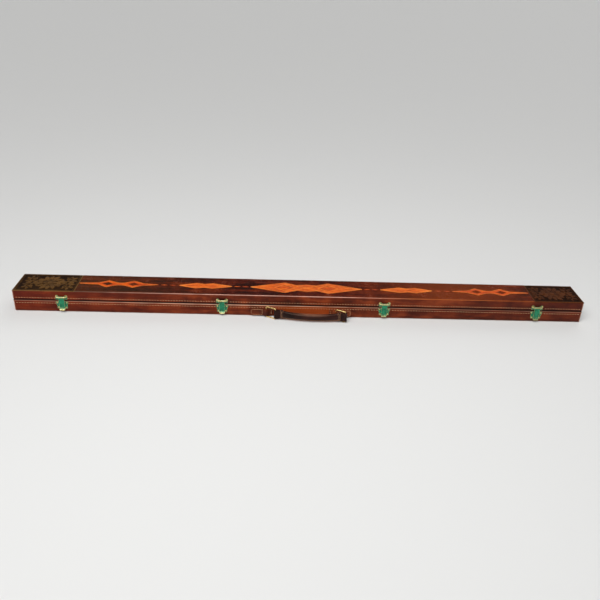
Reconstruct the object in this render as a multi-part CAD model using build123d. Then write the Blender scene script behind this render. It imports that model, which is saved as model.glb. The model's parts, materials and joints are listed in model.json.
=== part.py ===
"""Long hard case for a one-piece pool cue: a leather-covered wooden box with a hinged lid, four
snap hasps, a swinging handle and, inside, a cue in lined cradles.

Frame, in millimetres: +X along the case, -Y out of the front (the side with the hasps and the
handle), +Z up. The origin is the centre of the underside.
"""
import os
from math import atan2, cos, degrees, hypot, pi, radians, sin

from build123d import *

# ---- driving dimensions ----------------------------------------------------------------------
case_length = 1500.0
case_width = 97.0
case_height = 60.5
base_height = 33.4          # top of the base's rim
lid_gap = 1.4               # daylight between the base's rim and the lid's
leather = 1.8               # covering leather
rail = 6.0                  # wooden side walls
board = 5.0                 # wooden floor and lid board
lining = 1.0                # plush lining
edge_radius = 1.5           # rounded leather edges
foot_radius = 3.0           # the covering's lower edges
flange = 12.0               # how far the side coverings turn under the base

pattern_x = 13.0            # middle of the lid's pattern
pattern_reach = 603.0       # from there to each tooled end panel
inlay_chamfer = 0.25        # the V-shaped seam round each inlay

hinge_stations = (-626.0, -214.0, 214.0, 626.0)
hinge_length = 50.0
hinge_leaf_height = 19.0
hinge_leaf = 1.0
knuckle_radius = 2.4
hinge_pin_radius = 1.2
running_clearance = 0.05
knuckles = 5

latch_stations = (-625.0, -209.0, 219.0, 627.0)
latch_plate = 1.0
hasp_width = 15.0
hasp_strip = 1.2
hasp_pin_radius = 0.9
hasp_knuckle = 2.1
hasp_pin_z = 43.4
hasp_pin_out = 3.4          # from the front face to the hasp's pin
hasp_tip_z = 7.0
rivet_head = 1.7
rivet_shank = 0.9
rivet_depth = 5.0

ring_wire = 1.5             # radius of the ring's wire
ring_reach = 28.0           # between the ring's two upright bars
ring_low = 1.8              # centre of the ring's lower bar
ring_high = 30.8            # centre of the ring's upper bar
ring_corner = 3.5
ring_angle = 28.0           # how far the rings stand out from the front face at rest
tab_pivots = ((-93.0, 4.5), (90.0, 13.5))   # x, and how far each ring's pivot stands out
tab_low, tab_high = 4.0, 23.5
tab_length = 42.0           # from the ring's bar to the tab's two ends
tab_tail = 17.0
tab_shoulder = 9.0          # where the tab leaves the face to pass over the bar
tab_thickness = 4.2
loop_bore = 1.9
loop_skin = 2.3
grip_end = 16.0             # from the ring's bar to the end of the grip
strap_low, strap_high = 4.0, 28.0
strap_thickness = 4.6
grip_bow = 4.0
tongue_length = 8.0
core_radius = 4.5

cue_length = 1473.0
cue_y, cue_z = 19.5, 25.2
cue_butt_radius = 14.8
cue_tip_radius = 6.5
cradle_stations = (-620.0, -310.0, 0.0, 310.0, 620.0)
cradle_length = 36.0
cradle_clearance = 0.5
bay_radius = 15.5           # the empty bay's groove
pad_low = 42.0
pad_half_width = 35.0

# ---- worked-out dimensions -------------------------------------------------------------------
half_length = case_length / 2
half_width = case_width / 2
lid_low = base_height + lid_gap
shell_x = half_length - leather     # outside of the wood
shell_y = half_width - leather
room_x = shell_x - rail             # inside of the wood
room_y = shell_y - rail
floor_top = leather + board
ceiling = case_height - leather - board
hinge_y = half_width + knuckle_radius + 0.2
hinge_z = base_height + lid_gap / 2


def block(x0, x1, y0, y1, z0, z1):
    """A box between two corners."""
    middle = Pos((x0 + x1) / 2, (y0 + y1) / 2, (z0 + z1) / 2)
    return middle * Box(x1 - x0, y1 - y0, z1 - z0)


def outline(*points):
    """A flat face with straight sides."""
    return make_face(Polyline(*points, close=True))


def along_x(points, x0, x1):
    """A (y, z) outline drawn out from x0 to x1."""
    return extrude(Plane.YZ.offset(x0) * outline(*points), x1 - x0)


def along_y(points, y0, y1):
    """An (x, z) outline drawn out from y0 to y1."""
    return extrude(Plane.XZ.offset(-y1) * outline(*points), y1 - y0)


def rod_x(radius, x0, x1, y, z):
    """A round rod along X."""
    return Pos((x0 + x1) / 2, y, z) * Rot(0, 90, 0) * Cylinder(radius, x1 - x0)


def rod_y(radius, x, y0, y1, z):
    """A round rod along Y."""
    return Pos(x, (y0 + y1) / 2, z) * Rot(90, 0, 0) * Cylinder(radius, y1 - y0)


def rod_z(radius, x, y, z0, z1):
    """A round upright rod."""
    return Pos(x, y, (z0 + z1) / 2) * Cylinder(radius, z1 - z0)


def mirrored(shape):
    """The same shape on the other side of the case, front to back."""
    return shape.mirror(Plane.XZ)


def mirrored_ends(shape):
    """The same shape at the other end of the case."""
    return shape.mirror(Plane.YZ)


# ---- wooden box ------------------------------------------------------------------------------
def wooden_tray(z0, z1, board_z0):
    """Two rails, two end blocks and a board, between two heights."""
    front = block(-shell_x, shell_x, -shell_y, -room_y, z0, z1)
    left = block(-shell_x, -room_x, -room_y, room_y, z0, z1)
    flat = block(-room_x, room_x, -room_y, room_y, board_z0, board_z0 + board)
    return front, mirrored(front), left, mirrored_ends(left), flat


# ---- leather covering ------------------------------------------------------------------------
def base_side(reach, room):
    """Section of a base covering: a wall with a lip over the rim and a flange underneath."""
    return [
        (-reach, 0),
        (-reach, base_height),
        (-room, base_height),
        (-room, base_height - leather),
        (-reach + leather, base_height - leather),
        (-reach + leather, leather),
        (-reach + flange, leather),
        (-reach + flange, 0),
    ]


def lid_side(reach, room):
    """Section of a lid covering: a wall with a lip under the rim."""
    return [
        (-reach, lid_low),
        (-reach, case_height - leather),
        (-reach + leather, case_height - leather),
        (-reach + leather, lid_low + leather),
        (-room, lid_low + leather),
        (-room, lid_low),
    ]


def outer_edges(shape, axis, reach, height):
    """The long edges of a covering that lie at one height on its outer face."""
    return [
        e for e in shape.edges()
        if abs(getattr(e.center(), axis) + reach) < 0.01 and abs(e.center().Z - height) < 0.01
    ]


def end_edges(shape):
    """The upright outer edges of a front covering, at both ends of the case."""
    return [
        e for e in shape.edges()
        if abs(abs(e.center().X) - half_length) < 0.01 and abs(e.center().Y + half_width) < 0.01
    ]


def base_covers():
    """Front, back, left, right and bottom leather of the base."""
    front = along_x(base_side(half_width, room_y), -half_length, half_length)
    front = fillet(outer_edges(front, "Y", half_width, 0), foot_radius)
    front = fillet(outer_edges(front, "Y", half_width, base_height), edge_radius)
    front = fillet(end_edges(front), edge_radius)
    back = mirrored(front)
    left = extrude(Plane.XZ.offset(shell_y) * outline(*base_side(half_length, room_x)), -2 * shell_y)
    left = fillet(outer_edges(left, "X", half_length, 0), foot_radius)
    left = fillet(outer_edges(left, "X", half_length, base_height), edge_radius)
    corner = block(-half_length, half_length, -half_width, -half_width + flange, 0, leather)
    lip = block(-half_length, half_length, -half_width, -room_y, base_height - leather, base_height)
    left = left - corner - mirrored(corner) - lip - mirrored(lip)
    x, y = half_length - flange, half_width - flange
    return front, back, left, mirrored_ends(left), block(-x, x, -y, y, 0, leather)


def lid_covers():
    """Front, back, left and right leather of the lid."""
    front = along_x(lid_side(half_width, room_y), -half_length, half_length)
    front = fillet(outer_edges(front, "Y", half_width, lid_low), edge_radius)
    front = fillet(end_edges(front), edge_radius)
    left = extrude(Plane.XZ.offset(shell_y) * outline(*lid_side(half_length, room_x)), -2 * shell_y)
    left = fillet(outer_edges(left, "X", half_length, lid_low), edge_radius)
    lip = block(-half_length, half_length, -half_width, -room_y, lid_low, lid_low + leather)
    left = left - lip - mirrored(lip)
    return front, mirrored(front), left, mirrored_ends(left)


# ---- lid top: two tooled panels and a panel with inlays ------------------------------------
def top_blank():
    """The lid's whole top leather, rounded along its edges."""
    z0 = case_height - leather
    blank = block(-half_length, half_length, -half_width, half_width, z0, case_height)
    upper = blank.edges().group_by(Axis.Z)[-1]
    return fillet(upper, edge_radius)


def band(stations):
    """A face that is symmetric about the pattern's long axis, from (x, half width) stations."""
    upper = [(pattern_x + x, w) for x, w in stations]
    lower = [(x, -w) for x, w in reversed(upper)]
    return outline(*upper, *lower)


def diamond(x, half_long, half_wide):
    """A diamond on the pattern's long axis."""
    return outline(
        (pattern_x + x - half_long, 0),
        (pattern_x + x, half_wide),
        (pattern_x + x + half_long, 0),
        (pattern_x + x, -half_wide),
    )


def both_ways(stations):
    """Stations on the right of the pattern's middle, and the same stations on the left."""
    return stations, [(-x, w) for x, w in reversed(stations)]


def inlay(faces):
    """Inlays as thick as the leather, with their upper edges chamfered."""
    pieces = []
    for face in faces:
        piece = extrude(Pos(0, 0, case_height - leather) * face, leather)
        pieces.append(chamfer(piece.edges().group_by(Axis.Z)[-1], inlay_chamfer))
    return pieces


centre_stations = [
    (-150, 1.2), (-58, 30), (-27, 16.5), (0, 20.5), (27, 16.5), (58, 30), (150, 1.2),
]
lens_stations = [(198, 1.2), (250, 15.5), (272, 11), (295, 15.5), (340, 1.2)]
diamond_stations = [
    (394, 1.2), (434, 6), (460, 20), (485, 7.5), (494, 6.5), (503, 7.5), (528, 20), (552, 5.5),
    (pattern_reach - 0.5, 1.8),
]
diamond_eyes = (460, 528)
eye_long, eye_wide = 13.5, 9.0
dash_stations = (163.0, 185.0, 356.0, 379.0)
dash_long, dash_wide = 9.0, 2.2


def inlays():
    """The centre, lens, diamond and dash inlays, each as a list of solids."""
    centre = inlay([band(centre_stations)])
    lenses = inlay([band(s) for s in both_ways(lens_stations)])
    eyed = []
    for side, stations in zip((1, -1), both_ways(diamond_stations)):
        face = band(stations)
        for x in diamond_eyes:
            face = face - diamond(side * x, eye_long, eye_wide)
        eyed.append(face)
    diamonds = inlay(eyed)
    dashes = inlay([
        band([(s * x - dash_long, 0.5), (s * x, dash_wide), (s * x + dash_long, 0.5)])
        for x in dash_stations
        for s in (-1, 1)
    ])
    return centre, lenses, diamonds, dashes


def top_panels(pieces):
    """Left tooled panel, panel with pockets for the inlays, right tooled panel."""
    blank = top_blank()
    left_seam, right_seam = pattern_x - pattern_reach, pattern_x + pattern_reach
    reach = half_length + 1
    left = blank & block(-reach, left_seam - 0.2, -reach, reach, 0, case_height + 1)
    right = blank & block(right_seam + 0.2, reach, -reach, reach, 0, case_height + 1)
    middle = blank & block(left_seam, right_seam, -reach, reach, 0, case_height + 1)
    for piece in pieces:
        middle -= piece
    return left, middle, right


# ---- lining, cradles and pads ------------------------------------------------------------------
def lining_tray(z0, z1, flat_z):
    """A thin lining of the walls from z0 to z1 and of the board that it touches at flat_z."""
    outer = block(-room_x, room_x, -room_y, room_y, z0, z1)
    x, y = room_x - lining, room_y - lining
    if flat_z == z0:
        return outer - block(-x, x, -y, y, z0 + lining, z1 + 1)
    return outer - block(-x, x, -y, y, z0 - 1, z1 - lining)


def cue_radius(x):
    """The cue's radius at x: its butt is at -X and its tip at +X."""
    share = (x + cue_length / 2) / cue_length
    return cue_butt_radius + (cue_tip_radius - cue_butt_radius) * share


def cradle(x):
    """A lined block with a groove for the cue and a wider one for a second cue."""
    x0, x1 = x - cradle_length / 2, x + cradle_length / 2
    y = room_y - lining
    body = block(x0, x1, -y, y, floor_top + lining, cue_z)
    groove = cue_radius(x0) + cradle_clearance
    body -= rod_x(groove, x0 - 1, x1 + 1, cue_y, cue_z)
    body -= rod_x(bay_radius, x0 - 1, x1 + 1, -cue_y, cue_z)
    return body


def pad(x):
    """A soft pad under the lid, over a cradle."""
    x0, x1 = x - cradle_length / 2, x + cradle_length / 2
    body = block(x0, x1, -pad_half_width, pad_half_width, pad_low, ceiling - lining)
    return fillet(body.edges().group_by(Axis.Z)[0], 3.0)


# ---- hinges ------------------------------------------------------------------------------------
def hinge_screw_places(side):
    """(x, z) of a leaf's screws, from the leaf's middle: side is 1 on the lid and -1 on the base."""
    z = hinge_z + side * (3.2 + hinge_leaf_height * 0.55)
    return [(x, z) for x in (-hinge_length * 0.36, 0.0, hinge_length * 0.36)]


def hinge_leaf_at(station, side):
    """A leaf with its own share of the knuckles. side is 1 on the lid and -1 on the base."""
    x0 = station - hinge_length / 2
    near, far = hinge_z + side * 3.2, hinge_z + side * (3.2 + hinge_leaf_height)
    y0, y1 = half_width, half_width + hinge_leaf
    body = block(x0, x0 + hinge_length, y0, y1, min(near, far), max(near, far))
    step = hinge_length / knuckles
    start = 1 if side > 0 else 0
    bore = hinge_pin_radius + (running_clearance if side > 0 else 0.0)
    for n in range(start, knuckles, 2):
        a, b = x0 + n * step + 0.15, x0 + (n + 1) * step - 0.15
        web = block(a, b, y0, y1, min(near, hinge_z), max(near, hinge_z))
        body = body + rod_x(knuckle_radius, a, b, hinge_y, hinge_z) + web
        body -= rod_x(bore, a - 1, b + 1, hinge_y, hinge_z)
    for x, z in hinge_screw_places(side):
        body -= rod_y(rivet_shank, station + x, half_width - 1, half_width + 2, z)
    return body


def hinge_pin(station):
    """The hinge's pin, as long as the hinge."""
    x0 = station - hinge_length / 2
    return rod_x(hinge_pin_radius, x0 - 0.6, x0 + hinge_length + 0.6, hinge_y, hinge_z)


def stud(x, z, face, outward):
    """A domed rivet or pin whose shank runs into the wood: outward is -1 at the front, 1 at the back."""
    inner = half_width - rivet_depth
    y0, y1 = sorted((outward * inner, outward * (face + 0.5)))
    shank = rod_y(rivet_shank, x, y0, y1, z)
    y0, y1 = sorted((outward * face, outward * (face + 0.7)))
    head = rod_y(rivet_head, x, y0, y1, z)
    rim = [e for e in head.edges() if abs(e.center().Y - outward * (face + 0.7)) < 0.01]
    return shank + fillet(rim, 0.5)


def stud_hole(x, z, outward):
    """The hole that a stud's shank needs."""
    y0, y1 = sorted((outward * (half_width - rivet_depth), outward * (half_width + 3)))
    return rod_y(rivet_shank, x, y0, y1, z)


# ---- latches -----------------------------------------------------------------------------------
lid_rivets = [(-12.9, 46.2), (12.9, 46.2)]
keeper_rivets = [(-12.2, 27.2), (12.2, 27.2), (-9.8, 13.6), (9.8, 13.6)]


def latch_lid_plate(station):
    """The lid's plate: two riveted ears with a notch between them, and two lugs for the pin."""
    face = outline((-14.6, 36.4), (-15.2, 40.5), (-14.0, 45), (14.0, 45), (15.2, 40.5), (14.6, 36.4))
    for side in (-1, 1):
        face += Pos(side * 11.8, 45.0) * Circle(3.7)
    face -= Pos(0, 48.6) * Circle(6.4)
    body = extrude(Plane.XZ.offset(half_width) * face, latch_plate)
    y = -half_width - hasp_pin_out
    for side in (-1, 1):
        a, b = sorted((side * (hasp_width / 2 + 0.2), side * (hasp_width / 2 + 3.6)))
        foot = block(a, b, y, -half_width, hasp_pin_z - hasp_knuckle, hasp_pin_z + hasp_knuckle)
        body = body + foot + rod_x(hasp_knuckle, a, b, y, hasp_pin_z)
        body -= rod_x(hasp_pin_radius, a - 1, b + 1, y, hasp_pin_z)
    for x, z in lid_rivets:
        body -= rod_y(rivet_shank, x, -half_width - 2, -half_width + 1, z)
    return Pos(station, 0, 0) * body


def latch_pin(station):
    """The pin that the hasp swings on."""
    reach = hasp_width / 2 + 3.6
    return rod_x(hasp_pin_radius, station - reach - 0.3, station + reach + 0.3,
                 -half_width - hasp_pin_out, hasp_pin_z)


def hasp(station):
    """The hasp: a bowed strip with a knuckle at its top and a turned-out finger lip."""
    y = -half_width - hasp_pin_out
    inner = y + hasp_knuckle - hasp_strip
    belly = 0.9
    middle = (hasp_pin_z + hasp_tip_z) / 2
    strip = Spline((inner, hasp_pin_z - 1.2), (inner - belly, middle), (inner, hasp_tip_z + 6))
    lip = Line((inner, hasp_tip_z + 6), (inner - 3.2, hasp_tip_z))
    back = Line((inner - 3.2, hasp_tip_z), (inner - 4.6, hasp_tip_z + 0.5))
    outer_lip = Line((inner - 4.6, hasp_tip_z + 0.5), (inner - hasp_strip, hasp_tip_z + 6.4))
    outer = Spline((inner - hasp_strip, hasp_tip_z + 6.4), (inner - hasp_strip - belly, middle),
                   (inner - hasp_strip, hasp_pin_z - 1.2))
    top = Line((inner - hasp_strip, hasp_pin_z - 1.2), (inner, hasp_pin_z - 1.2))
    edges = [curve.edge() for curve in (strip, lip, back, outer_lip, outer, top)]
    section = make_face(Wire(edges))
    half = hasp_width / 2
    body = extrude(Plane.YZ.offset(-half) * section, hasp_width)
    side_low, side_high, corner = hasp_tip_z + half * 0.5, hasp_pin_z + 5, half * 0.72
    shape = outline((-half, side_low), (-half, side_high), (half, side_high), (half, side_low),
                    (corner, hasp_tip_z), (-corner, hasp_tip_z))
    body = body & extrude(Plane.XZ.offset(half_width) * shape, 12)
    body += rod_x(hasp_knuckle, -half, half, y, hasp_pin_z)
    body -= rod_x(hasp_pin_radius + running_clearance, -half - 1, half + 1, y, hasp_pin_z)
    return Pos(station, 0, 0) * body


def keeper(station):
    """The base's plate: a scalloped shield with a raised keeper behind the hasp."""
    face = outline((-14.8, 31.0), (14.8, 31.0), (14.6, 22), (11.4, 12), (6.0, 9.2), (-6.0, 9.2),
                   (-11.4, 12), (-14.6, 22))
    for side in (-1, 1):
        face += Pos(side * 12.2, 27.0) * Circle(3.9)
        face += Pos(side * 9.9, 13.4) * Circle(3.5)
        face -= Pos(side * 15.9, 20.0) * Circle(2.7)
    body = extrude(Plane.XZ.offset(half_width) * face, latch_plate)
    y = -half_width
    plate, proud = y - latch_plate, y - 2.1
    body += along_x([(plate, 22), (proud, 19.5), (proud, 15.5), (plate, 15)], -4.5, 4.5)
    for x, z in keeper_rivets:
        body -= rod_y(rivet_shank, x, -half_width - 2, -half_width + 1, z)
    return Pos(station, 0, 0) * body


# ---- handle ------------------------------------------------------------------------------------
def pivot(side):
    """(x, y) of a ring's pivot: side 0 is the left and 1 the right."""
    x, out = tab_pivots[side]
    return x, -half_width - out


def far_bar(side):
    """(x, y) of the ring's other upright bar, which the handle hangs on."""
    x, y = pivot(side)
    return x + ring_reach * cos(radians(ring_angle)), y - ring_reach * sin(radians(ring_angle))


def ring(side):
    """A rectangular wire ring."""
    height = ring_high - ring_low
    middle = Pos(ring_reach / 2, (ring_low + ring_high) / 2)
    path = (Plane.XZ * middle * RectangleRounded(ring_reach, height, ring_corner)).wire()
    start = path.position_at(0.0)
    section = Plane(origin=start, z_dir=path.tangent_at(0.0)) * Circle(ring_wire)
    body = sweep(section, path=path)
    x, y = pivot(side)
    return Pos(x, y, 0) * Rot(0, 0, -ring_angle) * body


def corners_at(strip, x):
    """The upper and lower corner edges at one end of a tab."""
    middle = (tab_low + tab_high) / 2
    return [e for e in strip.edges() if abs(e.center().X - x) < 0.01 and abs(e.center().Z - middle) > 5]


def tab(side):
    """A doubled leather strap that passes over the ring's near bar and is sewn down on both sides."""
    x, y = pivot(side)
    away = -1 if side == 0 else 1
    outer = loop_bore + loop_skin
    face, skin = -half_width, -half_width - tab_thickness
    end, tail = x + away * tab_length, x - away * tab_tail
    shoulder, crest, high = away * tab_shoulder, away * 2.0, y - outer * 0.88
    plan = outline((end, face), (end, skin), (x + shoulder, skin), (x + crest, high),
                   (x - crest, high), (x - shoulder, skin), (tail, skin), (tail, face))
    plan += Pos(x, y) * Circle(outer)
    plan -= Pos(0, 10 - half_width) * Rectangle(2 * half_length, 20)
    body = extrude(Pos(0, 0, tab_low) * plan, tab_high - tab_low)
    body = fillet(corners_at(body, end), 7.0)
    body = fillet(corners_at(body, tail), 4.0)
    return body - rod_z(loop_bore, x, y, tab_low - 1, tab_high + 1)


handle_start = far_bar(0)
handle_finish = far_bar(1)
handle_span = hypot(handle_finish[0] - handle_start[0], handle_finish[1] - handle_start[1])
handle_yaw = degrees(atan2(handle_finish[1] - handle_start[1], handle_finish[0] - handle_start[0]))
handle_place = Pos(handle_start[0], handle_start[1], 0) * Rot(0, 0, handle_yaw)


def grip():
    """The grip's outside: oval sections along a gentle bow, waisted in the middle."""
    length = handle_span - 2 * grip_end
    sections = []
    for t in (0.0, 0.12, 0.3, 0.5, 0.7, 0.88, 1.0):
        swell = max(0.0, sin(pi * t)) ** 0.6
        plane = Plane(origin=(grip_end + length * t, -grip_bow * swell, 16.0 - 3.8 * swell),
                      x_dir=(0, 1, 0), z_dir=(1, 0, 0))
        sections.append(plane * Ellipse(3.2 + 4.6 * swell, 12.0 - 2.0 * swell))
    return loft(sections)


def strap(side):
    """A handle end: leather folded round the ring's bar, with a thin tongue inside the grip."""
    x = 0.0 if side == 0 else handle_span
    inward = 1 if side == 0 else -1
    outer, half = loop_bore + loop_skin, strap_thickness / 2
    neck, end = x + inward * 9.0, x + inward * grip_end
    plan = Pos(x, 0) * Circle(outer)
    plan += outline((x + inward, -outer * 0.96), (neck, -half), (end, -half), (end, half), (neck, half),
                    (x + inward, outer * 0.96))
    body = extrude(Pos(0, 0, strap_low) * plan, strap_high - strap_low)
    return body + tongue(side) - rod_z(loop_bore, x, 0, strap_low - 1, strap_high + 1)


def tongue(side):
    """The part of a strap that is inside the grip."""
    start = grip_end if side == 0 else handle_span - grip_end
    end = start + (tongue_length if side == 0 else -tongue_length)
    return block(min(start, end), max(start, end), -1.5, 1.5, strap_low + 5, strap_high - 5)


def handle_parts():
    """Leather cover, rope core and the two end straps, placed on the rings."""
    margin = grip_end + 26.0
    core = rod_x(core_radius, margin, handle_span - margin, -3.0, 13.0)
    cover = grip() - core - tongue(0) - tongue(1)
    return [handle_place * s for s in (cover, core, strap(0), strap(1))]


# ---- cue ---------------------------------------------------------------------------------------
bumper_length, cap_length, ferrule_length, tip_length = 12.0, 30.0, 25.0, 6.0
splice_x = -60.0            # the butt's points end here


def cue_piece(x0, x1, shrink=0.0):
    """A stretch of the cue's taper."""
    r0, r1 = cue_radius(x0) - shrink, cue_radius(x1) - shrink
    profile = Plane.XY * outline((x0, 0), (x1, 0), (x1, r1), (x0, r0))
    return Pos(0, cue_y, cue_z) * revolve(profile, Axis.X)


def cue_parts():
    """Bumper, butt cap, butt, shaft, ferrule and tip, from -X to +X."""
    end = cue_length / 2
    marks = [-end, -end + bumper_length, -end + bumper_length + cap_length, splice_x,
             end - tip_length - ferrule_length, end - tip_length, end]
    names = ["cue_bumper", "cue_butt_cap", "cue_butt", "cue_shaft", "cue_ferrule", "cue_tip"]
    parts = {}
    for name, x0, x1 in zip(names, marks, marks[1:]):
        parts[name] = cue_piece(x0, x1, 2.0 if name == "cue_bumper" else 0.0)
    ends = {"cue_bumper": (Axis.X, 0, 2.5), "cue_tip": (Axis.X, -1, 2.4)}
    for name, (axis, which, radius) in ends.items():
        rim = parts[name].edges().filter_by(GeomType.CIRCLE).sort_by(axis)[which]
        parts[name] = fillet(rim, radius)
    return parts


# ---- the whole case ----------------------------------------------------------------------------
def build():
    """Every named piece, as node name to list of solids."""
    nodes = {}

    names = ["front_rail", "back_rail", "left_end", "right_end", "floor_board"]
    tray = wooden_tray(leather, base_height - leather, leather)
    base_wood = {"base_" + n: s for n, s in zip(names, tray)}
    names[-1] = "top_board"
    tray = wooden_tray(lid_low + leather, case_height - leather, ceiling)
    lid_wood = {"lid_" + n: s for n, s in zip(names, tray)}
    base_skin = dict(zip(["front", "back", "left", "right", "bottom"], base_covers()))
    lid_skin = dict(zip(["front", "back", "left", "right"], lid_covers()))

    # fasteners, and the holes that they need in leather and wood
    front_lid = [(s + x, z) for s in latch_stations for x, z in lid_rivets]
    front_base = [(s + x, z) for s in latch_stations for x, z in keeper_rivets]
    back_lid = [(s + x, z) for s in hinge_stations for x, z in hinge_screw_places(1)]
    back_base = [(s + x, z) for s in hinge_stations for x, z in hinge_screw_places(-1)]
    for places, wood, skin, side, outward in (
        (front_lid, lid_wood, lid_skin, "front", -1),
        (front_base, base_wood, base_skin, "front", -1),
        (back_lid, lid_wood, lid_skin, "back", 1),
        (back_base, base_wood, base_skin, "back", 1),
    ):
        holes = [stud_hole(x, z, outward) for x, z in places]
        key = ("lid_" if wood is lid_wood else "base_") + side + "_rail"
        wood[key] = wood[key] - holes
        skin[side] = skin[side] - holes
    nodes["latch_rivets_lid"] = [stud(x, z, half_width + latch_plate, -1) for x, z in front_lid]
    nodes["latch_rivets_base"] = [stud(x, z, half_width + latch_plate, -1) for x, z in front_base]
    nodes["hinge_screws_lid"] = [stud(x, z, half_width + hinge_leaf, 1) for x, z in back_lid]
    nodes["hinge_screws_base"] = [stud(x, z, half_width + hinge_leaf, 1) for x, z in back_base]

    nodes.update(base_wood)
    nodes.update(lid_wood)
    nodes.update({"base_cover_" + n: s for n, s in base_skin.items()})
    nodes.update({"lid_cover_" + n: s for n, s in lid_skin.items()})

    centre, lenses, diamonds, dashes = inlays()
    nodes["inlay_centre"], nodes["inlay_lenses"] = centre, lenses
    nodes["inlay_diamonds"], nodes["inlay_dashes"] = diamonds, dashes
    left, middle, right = top_panels(centre + lenses + diamonds + dashes)
    middle, *eyes = sorted(middle.solids(), key=lambda s: -s.volume)
    nodes["tooled_panel_left"], nodes["lid_top_panel"], nodes["tooled_panel_right"] = left, middle, right
    nodes["inlay_eyes"] = eyes

    nodes["base_lining"] = lining_tray(floor_top, base_height - 0.6, floor_top)
    nodes["lid_lining"] = lining_tray(lid_low + 0.6, ceiling, ceiling)
    nodes["cue_cradles"] = [cradle(x) for x in cradle_stations]
    nodes["lid_pads"] = [pad(x) for x in cradle_stations]

    nodes["hinge_leaves_lid"] = [hinge_leaf_at(s, 1) for s in hinge_stations]
    nodes["hinge_leaves_base"] = [hinge_leaf_at(s, -1) for s in hinge_stations]
    nodes["hinge_pins"] = [hinge_pin(s) for s in hinge_stations]

    nodes["latch_lid_plates"] = [latch_lid_plate(s) for s in latch_stations]
    nodes["latch_keepers"] = [keeper(s) for s in latch_stations]
    nodes["latch_pins"] = [latch_pin(s) for s in latch_stations]
    for n, station in enumerate(latch_stations, 1):
        nodes[f"latch_hasp_{n}"] = hasp(station)

    nodes["handle_tab_left"], nodes["handle_tab_right"] = tab(0), tab(1)
    nodes["handle_ring_left"], nodes["handle_ring_right"] = ring(0), ring(1)
    names = ["handle_grip_cover", "handle_core", "handle_strap_left", "handle_strap_right"]
    nodes.update(zip(names, handle_parts()))

    nodes.update(cue_parts())
    return nodes


def main():
    """Writes one STEP for each node."""
    os.makedirs("parts", exist_ok=True)
    for name, shape in build().items():
        solids = shape if isinstance(shape, list) else [shape]
        solids = [solid for s in solids for solid in s.solids()]
        export_step(solids[0] if len(solids) == 1 else Compound(children=solids), f"parts/{name}.step")


main()
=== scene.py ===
"""The looks of a long leather-covered case for a pool cue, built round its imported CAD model.

Units are metres, in the CAD's frame: +X along the case, -Y out of the front, +Z up.
"""
import json
from math import asin, atan2, copysign, cos, pi, radians, sin, sqrt

import bmesh
import bpy
import numpy as np
from mathutils import Matrix, Vector, noise


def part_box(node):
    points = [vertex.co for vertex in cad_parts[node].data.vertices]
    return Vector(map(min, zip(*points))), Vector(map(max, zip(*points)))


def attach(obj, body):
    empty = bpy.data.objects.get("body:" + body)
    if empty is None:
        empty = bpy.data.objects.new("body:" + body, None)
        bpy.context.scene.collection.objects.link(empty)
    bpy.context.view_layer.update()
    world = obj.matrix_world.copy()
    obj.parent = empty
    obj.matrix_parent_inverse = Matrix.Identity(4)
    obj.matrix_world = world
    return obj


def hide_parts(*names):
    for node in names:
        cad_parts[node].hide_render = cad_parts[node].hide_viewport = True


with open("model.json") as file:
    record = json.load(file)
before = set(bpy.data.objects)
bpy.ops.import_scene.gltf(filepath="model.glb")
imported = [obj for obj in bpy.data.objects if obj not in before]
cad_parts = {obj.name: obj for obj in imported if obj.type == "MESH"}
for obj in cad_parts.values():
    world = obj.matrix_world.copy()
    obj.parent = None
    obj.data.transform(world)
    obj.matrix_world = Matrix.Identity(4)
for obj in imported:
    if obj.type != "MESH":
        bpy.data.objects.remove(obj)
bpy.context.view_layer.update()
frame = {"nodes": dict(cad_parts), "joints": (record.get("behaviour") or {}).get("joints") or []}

MM = 0.001
NODES = frame["nodes"]
JOINT = {joint["name"]: Vector(joint["pos_m"]) for joint in frame["joints"]}

# ---- sizes read from the frame ----
FRONT_LOW, FRONT_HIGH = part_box("base_cover_front")
HALF_LENGTH = FRONT_HIGH[0]
HALF_WIDTH = -FRONT_LOW[1]
RIM = FRONT_HIGH[2]                             # top of the base
LID_LOW, LID_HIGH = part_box("lid_cover_front")
LID_RIM = LID_LOW[2]
LIP = -LID_HIGH[1]                              # inner edge of the leather's lips
FLANGE = -FRONT_HIGH[1]                         # inner edge of the leather under the base
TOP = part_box("lid_top_panel")[1][2]
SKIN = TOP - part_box("lid_top_panel")[0][2]      # thickness of the leather
KNUCKLE = JOINT["hasp_1_swing"].z
LATCHES = sorted(p.x for name, p in JOINT.items() if name.startswith("hasp"))
SPLIT = (RIM + LID_RIM) / 2                     # height of the gap between base and lid

FOOT = 3.0 * MM         # rounding of the leather's edges: at the foot, and elsewhere
EDGE = 1.5 * MM
BEAD = 0.5 * MM         # how far the rolled rim of the base stands out
BEAD_Z = RIM - 2.2 * MM
BASE_SEAM = 24.5 * MM   # heights of the stitched seams
LID_SEAM = 39.5 * MM
STITCH_PITCH = 7.0 * MM
THREAD = 0.58 * MM
SLOT_DEPTH = 0.5 * MM   # of the hinge screws' slots
SLOT_WIDTH = 0.8 * MM
GOLDEN_ANGLE = 2.399    # turns each screw another way
MAPLE_POINTS = 4        # on the cue's butt, and how far they run back into it
MAPLE_REACH = 0.26


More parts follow.
